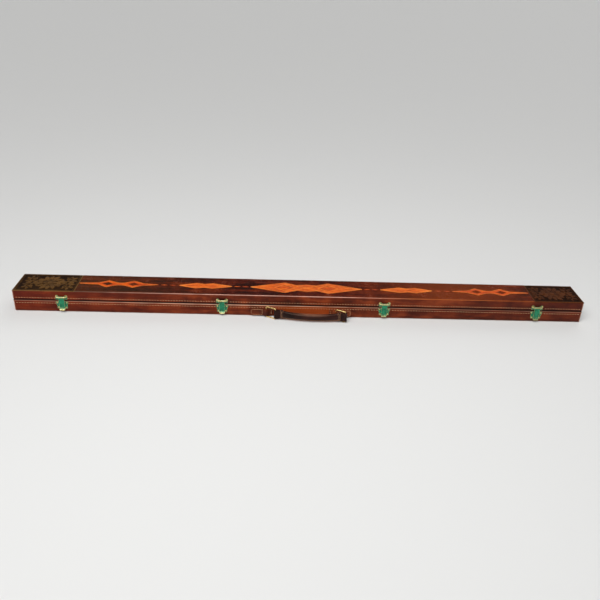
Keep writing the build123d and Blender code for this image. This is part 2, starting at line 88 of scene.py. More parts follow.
# ---- meshes ----
def new_piece(name, shape, material, body, replaced=(), smooth=True):
    """A piece that rides on a body, from a shape: its (vertices, faces)."""
    vertices, faces = shape
    mesh = bpy.data.meshes.new(name)
    mesh.from_pydata([tuple(v) for v in vertices], [], faces)
    mesh.validate()
    build = bmesh.new()
    build.from_mesh(mesh)
    bmesh.ops.remove_doubles(build, verts=build.verts, dist=1e-7)
    bmesh.ops.recalc_face_normals(build, faces=build.faces)
    build.to_mesh(mesh)
    build.free()
    mesh.polygons.foreach_set("use_smooth", [smooth] * len(mesh.polygons))
    mesh.materials.append(MATERIALS[material])
    piece = bpy.data.objects.new(name, mesh)
    bpy.context.scene.collection.objects.link(piece)
    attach(piece, body)
    if replaced:
        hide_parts(*replaced)
    return piece


def paint(piece, name, values):
    """A number at each vertex, which the piece's material reads."""
    layer = piece.data.attributes.new(name, "FLOAT", "POINT")
    layer.data.foreach_set("value", np.asarray(values, np.float32))


def arc(centre_out, centre_z, radius, start, end, count=5):
    """Points of an arc in a section, each (out, z, normal out, normal z)."""
    points = []
    for n in range(count):
        a = radians(start + (end - start) * n / (count - 1))
        points.append((centre_out + radius * cos(a), centre_z + radius * sin(a), cos(a), sin(a)))
    return points


def ring_faces(rings, count, closed_ring=True):
    """Quads between consecutive rings of count points."""
    faces = []
    for k in range(rings - 1):
        for n in range(count if closed_ring else count - 1):
            m = (n + 1) % count
            a, b = k * count, (k + 1) * count
            faces.append((a + n, a + m, b + m, b + n))
    return faces


def capped(rings, count):
    """Quads between consecutive rings of count points, and a face across each end."""
    last = (rings - 1) * count
    return ring_faces(rings, count) + [tuple(range(count)), tuple(range(last, last + count))]


def border(columns, rows):
    """Indices round the edge of a grid of points, which lists one column after another."""
    last = (columns - 1) * rows
    loop = list(range(rows)) + [k * rows + rows - 1 for k in range(1, columns)]
    return loop + [last + n for n in range(rows - 2, -1, -1)] + [k * rows for k in range(columns - 2, 0, -1)]


def tube(points, radius, sides=8):
    """The shape of a round tube along a list of points. radius may be a list."""
    points = [Vector(p) for p in points]
    radii = radius if isinstance(radius, (list, tuple)) else [radius] * len(points)
    vertices = []
    side = None
    for n, p in enumerate(points):
        ahead = points[min(n + 1, len(points) - 1)] - points[max(n - 1, 0)]
        ahead.normalize()
        if side is None:
            side = ahead.orthogonal().normalized()
        side = (side - ahead * side.dot(ahead)).normalized()
        other = ahead.cross(side)
        for k in range(sides):
            a = 2 * pi * k / sides
            vertices.append(p + radii[n] * (cos(a) * side + sin(a) * other))
    return vertices, capped(len(points), sides)


def joined(parts):
    """One shape from several."""
    vertices, faces = [], []
    for part_vertices, part_faces in parts:
        start = len(vertices)
        vertices += list(part_vertices)
        faces += [tuple(start + i for i in face) for face in part_faces]
    return vertices, faces


def middle_of(box):
    """The middle of a box, from its low and high corners."""
    return [(a + b) / 2 for a, b in zip(*box)]


def islands(node):
    """Low and high corners of each separate solid of a node, from left to right."""
    build = bmesh.new()
    build.from_mesh(NODES[node].data)
    bmesh.ops.remove_doubles(build, verts=build.verts, dist=1e-6)
    seen, boxes = set(), []
    for first in build.verts:
        if first in seen:
            continue
        stack, found = [first], []
        seen.add(first)
        while stack:
            vertex = stack.pop()
            found.append(vertex.co.copy())
            for edge in vertex.link_edges:
                other = edge.other_vert(vertex)
                if other not in seen:
                    seen.add(other)
                    stack.append(other)
        boxes.append(tuple([pick(p[i] for p in found) for i in range(3)] for pick in (min, max)))
    build.free()
    return sorted(boxes)


# ---- material building ----
class Finish:
    """A material with one Principled shader, and short calls for the nodes that feed it."""

    def __init__(self, name, **sockets):
        self.material = bpy.data.materials.new(name)
        self.material.use_nodes = True
        self.tree = self.material.node_tree
        self.shader = self.tree.nodes["Principled BSDF"]
        for socket, value in sockets.items():
            self.shader.inputs[socket.replace("_", " ")].default_value = value
        self.coordinates = self.tree.nodes.new("ShaderNodeTexCoord").outputs["Object"]

    def node(self, kind, inputs=(), **settings):
        made = self.tree.nodes.new("ShaderNode" + kind)
        for name, value in settings.items():
            setattr(made, name, value)
        for key, value in dict(inputs).items():
            self.feed(made.inputs[key], value)
        return made

    def feed(self, socket, value):
        if isinstance(value, bpy.types.NodeSocket):
            self.tree.links.new(value, socket)
        else:
            socket.default_value = value

    def stretched(self, x=1.0, y=1.0, z=1.0):
        """The piece's coordinates, each axis scaled."""
        return self.node("Mapping", {"Vector": self.coordinates, "Scale": (x, y, z)}).outputs["Vector"]

    def noise(self, scale, detail=3.0, rough=0.55, vector=None, distortion=0.0):
        inputs = {"Scale": scale, "Detail": detail, "Roughness": rough, "Distortion": distortion,
                  "Vector": vector or self.coordinates}
        return self.node("TexNoise", inputs).outputs["Fac"]

    def cells(self, scale, vector=None, feature="DISTANCE_TO_EDGE"):
        inputs = {"Scale": scale, "Vector": vector or self.coordinates}
        return self.node("TexVoronoi", inputs, feature=feature).outputs["Distance"]

    def math(self, operation, a, b=0.0, c=0.0):
        return self.node("Math", {0: a, 1: b, 2: c}, operation=operation).outputs["Value"]

    def times(self, a, b):
        return self.math("MULTIPLY", a, b)

    def weighted(self, a, a_share, b, b_share):
        """Two values added, each times its share."""
        return self.math("MULTIPLY_ADD", a, a_share, self.times(b, b_share))

    def range(self, value, low, high, to_low=0.0, to_high=1.0):
        """value from low..high, clamped, to to_low..to_high."""
        inputs = {"Value": value, "From Min": low, "From Max": high, "To Min": to_low, "To Max": to_high}
        return self.node("MapRange", inputs).outputs["Result"]

    def ramp(self, value, *stops):
        """A colour from value: stops are (position, (r, g, b))."""
        made = self.node("ValToRGB", {"Fac": value})
        marks = made.color_ramp.elements
        while len(marks) < len(stops):
            marks.new(0.5)
        for mark, (position, colour) in zip(marks, stops):
            mark.position = position
            mark.color = (*colour, 1.0)
        return made.outputs["Color"]

    def mix(self, factor, a, b, blend="MIX"):
        made = self.node("Mix", data_type="RGBA", blend_type=blend)
        self.feed(made.inputs[0], factor)
        self.feed(made.inputs[6], a if isinstance(a, bpy.types.NodeSocket) else (*a, 1.0))
        self.feed(made.inputs[7], b if isinstance(b, bpy.types.NodeSocket) else (*b, 1.0))
        return made.outputs[2]

    def attribute(self, name):
        return self.node("Attribute", attribute_name=name).outputs["Fac"]

    def axis(self, letter):
        parts = self.node("SeparateXYZ", {"Vector": self.coordinates})
        return parts.outputs[letter]

    def bump(self, height, distance, strength=1.0, below=None):
        inputs = {"Height": height, "Distance": distance, "Strength": strength}
        if below:
            inputs["Normal"] = below
        return self.node("Bump", inputs).outputs["Normal"]

    def set(self, **sockets):
        """Feeds the shader's sockets, and gives the material."""
        for socket, value in sockets.items():
            self.feed(self.shader.inputs[socket.replace("_", " ")], value)
        return self.material


def rgb(red, green, blue):
    """Linear colour from 0..255 sRGB."""
    shares = (c / 255 for c in (red, green, blue))
    return tuple(((c + 0.055) / 1.055) ** 2.4 if c > 0.04 else c / 12.92 for c in shares)


# ---- materials ----
def leather(name, dark, mid, light, rough=(0.34, 0.55), pores=1400.0, streak=(1.0, 6.0, 6.0), coat=0.08,
            shine=0.2, wear_and_highlight=None, tone=None):
    """Smooth grain leather: streaks and blotches of colour, creases, pores, and worn edges; the same vertex
    attribute paints highlights where positive and shade where negative.
    """
    m = Finish(name, Coat_Weight=coat, Coat_Roughness=0.22, Specular_IOR_Level=shine,
               Specular_Tint=(1.0, 0.6, 0.44, 1.0))
    streaks = m.noise(9.0, 5.0, 0.62, m.stretched(*streak), 0.4)
    blotches = m.noise(26.0, 4.0, 0.6)
    colour = m.weighted(blotches, 0.45, streaks, 0.6)
    colour = m.ramp(colour, (0.4, dark), (0.52, mid), (0.65, light))
    fine = m.noise(420.0, 3.0, 0.6)
    colour = m.mix(m.range(fine, 0.35, 0.7, 0.0, 0.28), colour, tuple(c * 0.45 for c in dark))
    if tone:
        colour = tone(m, colour)
    if wear_and_highlight:
        wear_and_painted_light = m.attribute("wear_and_painted_light")
        patches = m.range(m.noise(22.0, 5.0, 0.65, m.stretched(1.0, 3.0, 3.0)), 0.32, 0.56, 0.35, 1.0)
        # positive values: worn edges and painted highlights, lightened towards the wear-and-highlight colour
        colour = m.mix(m.times(m.range(wear_and_painted_light, 0.0, 1.0), patches), colour, wear_and_highlight)
        # negative values: painted shade, darkened almost to black
        colour = m.mix(m.range(wear_and_painted_light, 0.0, -1.0), colour, tuple(c * 0.1 for c in dark))
    grain = m.cells(pores)
    creases = m.noise(160.0, 5.0, 0.7, m.stretched(0.5, 1.6, 1.6), 0.8)
    surface = m.bump(m.range(grain, 0.0, 0.18), 0.00009, 0.7)
    surface = m.bump(creases, 0.0006, 0.42, surface)
    gloss = m.range(m.weighted(fine, 0.4, blotches, 0.6), 0.35, 0.65, *rough)
    return m.set(Base_Color=colour, Roughness=gloss, Normal=surface)


def sides_tone(m, colour):
    """Redder towards the -X end, browner in the middle, purple towards the +X end, a painted pool of light
    behind the handle, and painted shade near the foot.
    """
    x = m.axis("X")
    z = m.axis("Z")
    colour = m.mix(m.range(x, -0.1, -0.72, 0.0, 0.55), colour, rgb(96, 20, 5))
    colour = m.mix(m.range(x, 0.12, 0.7, 0.0, 0.6), colour, rgb(54, 12, 9))
    # painted pool of light: brighter orange-red on the base's front behind the handle
    behind_handle = m.times(m.range(x, -0.09, -0.04), m.range(x, 0.12, 0.06))
    painted_glow = m.times(behind_handle, m.range(z, 0.034, 0.028, 0.0, 0.7))
    colour = m.mix(painted_glow, colour, rgb(168, 72, 26))
    # painted shade: darker towards the foot
    return m.mix(m.range(z, 0.012, 0.0, 0.0, 0.45), colour, rgb(34, 10, 6))


def top_tone(m, colour):
    """Olive-brown to maroon along X, a painted orange-brown reflection towards +X, and a painted highlight
    along the rounded top edges.
    """
    x = m.axis("X")
    colour = m.mix(m.range(x, -0.2, -0.62, 0.0, 0.5), colour, rgb(74, 44, 14))
    # painted reflection: an orange-brown band towards the +X end
    reflection_band = m.times(m.range(x, 0.16, 0.36), m.range(x, 0.66, 0.46))
    colour = m.mix(m.times(reflection_band, 0.55), colour, rgb(130, 54, 8))
    # painted highlight on the rounded top edges, found from the upward normal
    up = m.node("SeparateXYZ", {"Vector": m.node("TexCoord").outputs["Normal"]}).outputs["Z"]
    ridge_highlight = m.times(m.range(up, 0.995, 0.93), m.range(up, 0.1, 0.45))
    patches = m.noise(30.0, 4.0, 0.6, m.stretched(1.0, 0.2, 0.2))
    ridge_highlight = m.times(ridge_highlight, m.range(patches, 0.3, 0.55, 0.6, 1.0))
    # the painted highlight is strongest along the middle of the length
    middle = m.times(m.range(x, -0.6, -0.25, 0.1, 0.9), m.range(x, 0.6, 0.2, 0.45, 1.0))
    # painted highlight colour: pinkish in the middle, orange-brown towards +X
    edge_highlight = m.mix(m.range(x, 0.1, 0.3), rgb(230, 176, 156), rgb(196, 112, 62))
    return m.mix(m.times(ridge_highlight, middle), colour, edge_highlight)


def plush(name, dark, light):
    """Short pile that catches light at grazing angles."""
    m = Finish(name, Sheen_Weight=0.8, Sheen_Roughness=0.35, Sheen_Tint=(*light, 1.0),
               Specular_IOR_Level=0.15)
    nap = m.noise(55.0, 4.0, 0.6, None, 0.6)
    pile = m.noise(1500.0, 2.0, 0.7)
    colour = m.ramp(m.weighted(pile, 0.5, nap, 0.5), (0.36, dark), (0.64, light))
    surface = m.bump(nap, 0.002, 0.4, m.bump(pile, 0.0006, 0.6))
    return m.set(Base_Color=colour, Roughness=m.range(nap, 0.3, 0.7, 0.85, 1.0), Normal=surface)


def brass(name, bright, dull, green_reflection=None, rough=(0.18, 0.42)):
    """Brass: polished and tarnished by turns, or under a green film, a painted reflection of blue cloth, that
    is left off the edges and the handled places.
    """
    m = Finish(name, Metallic=1.0)
    tarnish = m.noise(130.0, 5.0, 0.65, None, 0.5)
    spots = m.noise(520.0, 3.0, 0.7)
    colour = m.ramp(tarnish, (0.3, dull), (0.64, bright))
    surface = m.bump(m.noise(900.0, 3.0, 0.6, m.stretched(0.3, 1.0, 1.0)), 0.00005, 0.5)
    gloss = m.range(tarnish, 0.35, 0.65, rough[1], rough[0])
    if green_reflection:
        soft = m.node("Bevel", {"Radius": 0.001}, samples=6).outputs["Normal"]
        flat = m.node("NewGeometry").outputs["Normal"]
        bend = m.node("VectorMath", {0: soft, 1: flat}, operation="DOT_PRODUCT").outputs["Value"]
        # bare brass along the worn edges, where the painted green is left off
        edge_highlight = m.times(m.range(bend, 0.992, 0.93), m.range(spots, 0.3, 0.55, 0.45, 1.0))
        z = m.axis("Z")
        knuckle = m.range(m.math("ABSOLUTE", m.math("SUBTRACT", z, KNUCKLE)), 0.0026, 0.0012)
        handled = m.math("MAXIMUM", knuckle, m.range(z, 0.0125, 0.0085))
        handled = m.times(handled, m.range(spots, 0.36, 0.6, 0.1, 0.9))
        # where the painted green reflection covers the brass
        reflection_film = m.math("SUBTRACT", 1.0, m.math("MAXIMUM", edge_highlight, handled))
        dark, light = green_reflection
        green = m.ramp(m.weighted(spots, 0.5, tarnish, 0.5), (0.36, dark), (0.62, light))
        colour = m.mix(reflection_film, colour, green)
        gloss = m.math("MULTIPLY_ADD", reflection_film, 0.14, gloss)
        surface = m.bump(m.times(reflection_film, spots), 0.00012, 0.6, surface)
        m.set(Metallic=m.range(reflection_film, 0.0, 1.0, 1.0, 0.35))
    return m.set(Base_Color=colour, Roughness=gloss, Normal=surface)


def wood(name, dark, light, ring_scale=60.0, rough=(0.45, 0.65), coat=0.0, along=(0.6, 9.0, 9.0)):
    """Plain wood with its grain along X."""
    m = Finish(name, Coat_Weight=coat, Coat_Roughness=0.08)
    grain = m.noise(ring_scale, 6.0, 0.62, m.stretched(*along), 1.2)
    pores = m.noise(ring_scale * 14, 2.0, 0.6, m.stretched(0.12, 3.0, 3.0))
    colour = m.ramp(m.weighted(grain, 0.75, pores, 0.25), (0.34, dark), (0.66, light))
    surface = m.bump(pores, 0.00008, 0.5 if coat < 0.5 else 0.1)
    return m.set(Base_Color=colour, Roughness=m.range(grain, 0.3, 0.7, *rough), Normal=surface)


def thread(name, dark, light):
    """Waxed twisted thread."""
    m = Finish(name, Sheen_Weight=0.05, Specular_IOR_Level=0.25)
    twist = m.node("TexWave", {"Scale": 420.0, "Distortion": 1.0, "Vector": m.coordinates},
                   bands_direction="DIAGONAL").outputs["Fac"]
    colour = m.mix(m.noise(90.0, 3.0), dark, light)
    gloss = m.range(twist, 0.0, 1.0, 0.5, 0.75)
    return m.set(Base_Color=colour, Roughness=gloss, Normal=m.bump(twist, 0.00012, 0.7))


def tooled_leather():
    """Carved leather: dark stain in the hollows, olive-tan rubbed high places."""
    m = Finish("tooled_leather", Coat_Weight=0.04, Coat_Roughness=0.3, Specular_IOR_Level=0.16,
               Specular_Tint=(1.0, 0.7, 0.5, 1.0))
    relief = m.attribute("relief")
    blotch = m.noise(38.0, 4.0, 0.6)
    x = m.axis("X")
    height = m.math("ADD", relief, m.range(blotch, 0.3, 0.7, -0.24, 0.24))
    left = m.ramp(height, (0.08, rgb(27, 14, 7)), (0.3, rgb(50, 31, 14)), (0.62, rgb(76, 51, 22)),
                  (0.97, rgb(108, 75, 36)))
    right = m.ramp(height, (0.08, rgb(26, 11, 5)), (0.3, rgb(42, 19, 8)), (0.62, rgb(60, 29, 11)),
                   (0.97, rgb(92, 48, 18)))
    colour = m.mix(m.range(x, -0.3, 0.3), left, right)
    colour = m.mix(m.range(m.noise(420.0, 3.0), 0.4, 0.7, 0.0, 0.3), colour, rgb(20, 10, 6))
    surface = m.bump(m.range(m.cells(1300.0), 0.0, 0.18), 0.00008, 0.5)
    return m.set(Base_Color=colour, Roughness=m.range(relief, 0.0, 1.0, 0.62, 0.36), Normal=surface)


def inlay_leather():
    """Smooth orange leather with a grain along X."""
    m = Finish("inlay_leather", Coat_Weight=0.25, Coat_Roughness=0.2, Specular_IOR_Level=0.3)
    grain = m.noise(40.0, 5.0, 0.65, m.stretched(1.0, 3.0, 1.0), 0.3)
    fibre = m.noise(240.0, 3.0, 0.6)
    colour = m.ramp(m.weighted(grain, 0.7, fibre, 0.3), (0.36, rgb(150, 44, 3)), (0.5, rgb(206, 76, 8)),
                    (0.66, rgb(238, 112, 20)))
    surface = m.bump(fibre, 0.00015, 0.5)
    return m.set(Base_Color=colour, Roughness=m.range(grain, 0.3, 0.7, 0.42, 0.26), Normal=surface)


def cue_butt():
    """Rosewood, with maple points that run back into it from the shaft."""
    m = Finish("cue_butt", Coat_Weight=0.8, Coat_Roughness=0.06)
    shaft_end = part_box("cue_butt")[1][0]
    _, axis_y, axis_z = middle_of(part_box("cue_butt"))
    grain = m.noise(36.0, 6.0, 0.65, m.stretched(0.5, 10.0, 10.0), 1.4)
    dark = m.ramp(grain, (0.34, rgb(36, 12, 8)), (0.64, rgb(96, 36, 22)))
    pale = m.ramp(grain, (0.34, rgb(190, 142, 84)), (0.66, rgb(228, 192, 138)))
    y = m.math("SUBTRACT", m.axis("Y"), axis_y)
    z = m.math("SUBTRACT", m.axis("Z"), axis_z)
    turn = m.times(m.math("ARCTAN2", z, y), MAPLE_POINTS / (2 * pi))
    tooth = m.math("PINGPONG", turn, 0.5)
    reach = m.range(m.axis("X"), shaft_end - MAPLE_REACH, shaft_end, 0.0, 0.5)
    point = m.range(m.math("SUBTRACT", reach, tooth), -0.004, 0.004)
    return m.set(Base_Color=m.mix(point, dark, pale), Roughness=m.range(grain, 0.3, 0.7, 0.2, 0.3))


MATERIALS = {
    # case: the wear-and-highlight colour serves worn edges and the painted rim highlight
    "case": leather("case_leather", rgb(52, 12, 4), rgb(102, 36, 13), rgb(150, 64, 28),
                    wear_and_highlight=rgb(236, 186, 156), tone=sides_tone),
    "top": leather("top_leather", rgb(30, 5, 1), rgb(74, 18, 4), rgb(116, 42, 12), rough=(0.18, 0.3),
                   coat=0.05, shine=0.12, streak=(0.7, 6.0, 1.0), pores=900.0, tone=top_tone),
    "tooled": tooled_leather(),
    "inlay": inlay_leather(),
    "tab": leather("tab_leather", rgb(58, 18, 8), rgb(100, 42, 20), rgb(136, 66, 34), streak=(2.0, 2.0, 2.0)),
    # handle: the wear-and-highlight colour also paints a sheen along the grip's top
    "handle": leather("handle_leather", rgb(12, 4, 6), rgb(28, 10, 11), rgb(56, 25, 22), rough=(0.3, 0.5),
                      streak=(2.0, 3.0, 3.0), wear_and_highlight=rgb(184, 124, 92)),
    "plush": plush("plush", rgb(58, 8, 16), rgb(128, 26, 40)),
    # latches: brass under a painted green reflection of blue cloth
    "green_reflection": brass("latch_brass", rgb(252, 236, 180), rgb(216, 178, 96),
                    green_reflection=(rgb(8, 62, 42), rgb(36, 150, 104))),
    "brass": brass("bright_brass", rgb(252, 224, 152), rgb(214, 172, 96)),
    "steel": brass("steel", rgb(190, 190, 190), rgb(110, 110, 112)),
    "box_wood": wood("box_wood", rgb(150, 108, 66), rgb(206, 168, 118)),
    "thread": thread("seam_thread", rgb(176, 120, 82), rgb(230, 184, 140)),
    "rope": thread("rope", rgb(150, 124, 84), rgb(206, 184, 142)),
    "piping": thread("piping", rgb(84, 12, 22), rgb(140, 34, 48)),
    "inlay_rib": thread("inlay_rib", rgb(236, 118, 28), rgb(255, 168, 72)),
    "inlay_rim": thread("inlay_rim", rgb(240, 124, 36), rgb(255, 176, 84)),
    "inlay_groove": thread("inlay_groove", rgb(84, 30, 10), rgb(134, 52, 18)),
    "rubber": thread("cue_rubber", rgb(16, 16, 17), rgb(34, 34, 36)),
    "ivory": wood("cue_ivory", rgb(214, 204, 178), rgb(240, 234, 214), 30.0, (0.16, 0.26), 0.6),
    "cue_maple": wood("cue_maple", rgb(196, 150, 92), rgb(230, 196, 142), 40.0, (0.16, 0.26), 0.7),
    "cue_butt": cue_butt(),
    "cue_tip": thread("cue_tip", rgb(34, 74, 110), rgb(66, 120, 160)),
}


# ---- leather covers of the four sides ----
def eased(share):
    """A share from 0 to 1 that starts and ends gently."""
    return share * share * (3 - 2 * share)


def near(value, centre, reach):
    """1 at the centre, falling smoothly to 0 at reach."""
    return 1 - eased(min(1.0, abs(value - centre) / reach))


def stitch_dimple(s, z, seam):
    """A pressed seam: a shallow groove with a dimple at each thread hole."""
    across = near(z, seam, 1.7 * MM)
    phase = (s / STITCH_PITCH) % 1.0
    return across * (0.22 * MM + 0.2 * MM * cos(2 * pi * phase) ** 2)


def walls(reach, low, high, count):
    """Upright outer wall of a section, its points evenly spaced."""
    return [(reach, low + (high - low) * n / count, 1.0, 0.0) for n in range(1, count)]


def base_section(reach, lip, flange):
    """Closed section of a base cover."""
    inner = reach - SKIN
    return (
        [(flange, 0.0, 0.0, 0.0)] + arc(reach - FOOT, FOOT, FOOT, -90, 0)
        + walls(reach, FOOT, RIM - EDGE, 20) + arc(reach - EDGE, RIM - EDGE, EDGE, 0, 90)
        + [(lip, RIM, 0.0, 0.0), (lip, RIM - SKIN, 0.0, 0.0), (inner, RIM - SKIN, 0.0, 0.0),
           (inner, SKIN, 0.0, 0.0), (flange, SKIN, 0.0, 0.0)]
    )


def lid_section(reach, lip, _):
    """Closed section of a lid cover."""
    inner = reach - SKIN
    high = TOP - SKIN
    return (
        [(lip, LID_RIM, 0.0, 0.0)] + arc(reach - EDGE, LID_RIM + EDGE, EDGE, -90, 0)
        + walls(reach, LID_RIM + EDGE, high, 16)
        + [(reach, high, 0.0, 0.0), (inner, high, 0.0, 0.0), (inner, LID_RIM + SKIN, 0.0, 0.0),
           (lip, LID_RIM + SKIN, 0.0, 0.0)]
    )


def cover(node, section, place, half, reach, body, seam, plates):
    """A side's leather: its section swept along the side and mitred at both corners, a little uneven, with a
    vertex attribute for worn edges, a painted highlight along the base's rim and painted shade at the gap.
    plates has the place and reach of each latch or hinge, where the leather lies flat."""
    is_base = body == "base"
    points = section(reach, reach - (HALF_WIDTH - LIP), reach - (HALF_WIDTH - FLANGE))
    straight_end = half - EDGE
    turns = [radians(a) for a in (0, 11, 22, 34, 45)]
    corner = [(straight_end + EDGE * sin(a), EDGE - EDGE * cos(a)) for a in turns]
    count = max(8, round(2 * straight_end / (2.0 * MM)))
    straight = [(straight_end * (2 * n / count - 1), 0.0) for n in range(1, count)]
    stations = [(-s, pull) for s, pull in reversed(corner)] + straight + corner
    vertices, wear_and_painted_light = [], []
    for s, pull in stations:
        share = s / half
        calm = 1 - max([near(s, x, width) for x, width in plates], default=0.0)
        sag = near(abs(s), half - 32 * MM, 30 * MM) if plates else 0.0
        for out, z, normal_out, normal_z in points:
            along = share * (half - (reach - out))
            outer = abs(normal_out) + abs(normal_z) > 0
            push = rise = wear_light_and_shade = 0.0
            if outer:
                fade = calm * min(1.0, max(0.0, (TOP - SKIN - z) / (4 * MM)))
                seat = Vector((s * 28, z * 60, reach * 9))
                push = fade * 0.16 * MM * (noise.noise(seat) + 0.5 * noise.noise(seat * 4))
                push -= calm * stitch_dimple(s, z, seam)
                if is_base:
                    push += calm * BEAD * near(z, BEAD_Z, 2.6 * MM)
                push -= pull * normal_out
                # wear on the corners and along the foot
                wear_light_and_shade = max(0.8 * near(abs(s), half, 2.6 * MM), 0.4 * near(z, 0.8 * MM, 2 * MM))
                # painted highlight along the base's rolled rim, strongest left of the middle, with some wear
                if is_base:
                    strength = 0.25 + 0.75 * near(s, -0.16, 0.62) if plates else 0.3
                    wear_light_and_shade = max(wear_light_and_shade, strength * near(z, BEAD_Z, 2.3 * MM))
                # painted shade in the gap between base and lid
                if abs(z - SPLIT) < 2.1 * MM:
                    wear_light_and_shade = -1.0
            if not is_base and z < LID_RIM + 3 * MM:
                rise = 0.75 * MM * sag
            vertices.append(place(along, out + push * normal_out, max(0.0, z + push * normal_z + rise)))
            wear_and_painted_light.append(wear_light_and_shade)
    shape = vertices, capped(len(stations), len(points))
    piece = new_piece(node.replace("cover", "leather"), shape, "case", body, [node])
    paint(piece, "wear_and_painted_light", wear_and_painted_light)


HINGES = [middle_of(box)[0] for box in islands("hinge_leaves_lid")]
SIDES = {
    "front": (lambda s, out, z: (s, -out, z), HALF_LENGTH, HALF_WIDTH, [(x, 19 * MM) for x in LATCHES]),
    "back": (lambda s, out, z: (s, out, z), HALF_LENGTH, HALF_WIDTH, [(x, 29 * MM) for x in HINGES]),
    "left": (lambda s, out, z: (-out, s, z), HALF_WIDTH, HALF_LENGTH, []),
    "right": (lambda s, out, z: (out, s, z), HALF_WIDTH, HALF_LENGTH, []),
}


def covers():
    for side, (place, half, reach, plates) in SIDES.items():
        cover("base_cover_" + side, base_section, place, half, reach, "base", BASE_SEAM, plates)
        cover("lid_cover_" + side, lid_section, place, half, reach, "lid", LID_SEAM, plates)


# ---- stitches ----
def stitch(centre, along, outward, length=5.0 * MM, radius=THREAD):
    """One thread stitch: a short rounded strand that dives into the leather at both ends."""
    points, radii = [], []
    for n in range(7):
        t = n / 6
        lift = sin(pi * t) ** 0.6
        points.append(centre + along * (t - 0.5) * length + outward * (lift * 1.25 - 0.85) * radius)
        radii.append(radius * (0.55 + 0.45 * lift))
    return tube(points, radii, 6)


def stitched_path(name, body, path, outward, pitch=STITCH_PITCH, length=5.0 * MM, slant=0.1,
                  radius=THREAD, skip=()):
    """Slanted stitches along a line of points. skip has (low x, high x) stretches without any."""
    path = [Vector(p) for p in path]
    outward = Vector(outward).normalized()
    marks = np.cumsum([0.0] + [(b - a).length for a, b in zip(path, path[1:])])
    count = int(marks[-1] / pitch)
    parts = []
    for n in range(count):
        distance = (n + 0.5) * marks[-1] / count
        k = min(int(np.searchsorted(marks, distance)), len(path) - 1)
        along = (path[k] - path[k - 1]).normalized()
        centre = path[k - 1] + along * (distance - marks[k - 1])
        if any(low < centre.x < high for low, high in skip):
            continue
        turn = slant + 0.05 * sin(n * 2.4)
        across = along.cross(outward)
        parts.append(stitch(centre, (along + across * turn).normalized(), outward, length, radius))
    new_piece(name, joined(parts), "thread", body)


def case_stitches():
    edge = 5 * MM
    sink = 0.36 * MM
    for body, z in (("base", BASE_SEAM), ("lid", LID_SEAM)):
        for side, (place, half, reach, plates) in SIDES.items():
            skip = [(x - width + 2 * MM, x + width - 2 * MM) for x, width in plates]
            ends = [place(way * (half - edge), reach - sink, z) for way in (-1, 1)]
            stitched_path(f"{body}_stitches_{side}", body, ends, place(0, 1, 0), skip=skip)


# ---- tooled end panels ----
def spiral(centre, start_radius, end_radius, start, turn, count=60):
    """Points of a spiral, angles in degrees."""
    points = []
    for n in range(count):
        t = n / (count - 1)
        a = radians(start + turn * t)
        r = start_radius + (end_radius - start_radius) * t ** 0.85
        points.append((centre[0] + r * cos(a), centre[1] + r * sin(a)))
    return points


def leaf_height(u, v, base, angle, length, width):
    """A carved leaf with a midrib and a serrated edge."""
    a = radians(angle)
    du, dv = u - base[0], v - base[1]
    along = (du * cos(a) + dv * sin(a)) / length
    across = -du * sin(a) + dv * cos(a)
    across = across - width * 0.35 * np.sin(pi * np.clip(along, 0, 1))
    inside = np.clip(along, 0.0, 1.0)
    outline = width * np.sin(pi * inside ** 0.75) ** 0.8 * (1 + 0.14 * np.sin(inside * 26))
    share = np.abs(across) / np.maximum(outline, 1e-6)
    height = 0.95 - 0.45 * share ** 2 - 0.34 * np.exp(-(across / (0.7 * MM)) ** 2)
    ribs = 0.1 * np.cos(inside * 30 + np.abs(across) / MM * 1.3)
    return np.where((share < 1) & (along > 0) & (along < 1), height + ribs, 0.0)


def stem_height(u, v, points, width):
    """A round stem along a line of points, tapering to its end."""
    best = np.zeros_like(u)
    for n, (pu, pv) in enumerate(points):
        w = width * (1 - 0.55 * n / len(points))
        share = np.hypot(u - pu, v - pv) / w
        best = np.maximum(best, np.where(share < 1, 0.86 - 0.5 * share ** 2, 0.0))
    return best


def flower_height(u, v, centre, radius, petals=6):
    """A rosette: petals with a groove between them, and a beaded middle."""
    du, dv = u - centre[0], v - centre[1]
    r = np.hypot(du, dv) / radius
    a = np.arctan2(dv, du)
    lobe = np.abs(np.cos(a * petals / 2))
    edge = 0.68 + 0.32 * lobe ** 0.7
    share = r / edge
    petal = np.where(share < 1, 0.55 + 0.4 * np.sqrt(lobe) * np.clip(share, 0, 1) - 0.3 * share ** 6, 0.0)
    middle = np.where(r < 0.3, 1.0 - 1.2 * r ** 2 - 0.12 * np.cos(du / MM * 2.6) * np.cos(dv / MM * 2.6), 0.0)
    return np.maximum(petal, middle)


# Leaves of each stem (point of the stem, length in mm, lean) and round the rosette (angle, length)
STEM_LEAVES = ((2, 19, 50), (7, 16, 20), (12, 17, 44), (17, 14, 12), (22, 14, 40), (28, 12, 30),
               (34, 9, 40), (9, 9, 160), (19, 8, 160))
ROSETTE_LEAVES = ((8, 17), (38, 20), (64, 25), (90, 23), (116, 25), (142, 20), (172, 17))


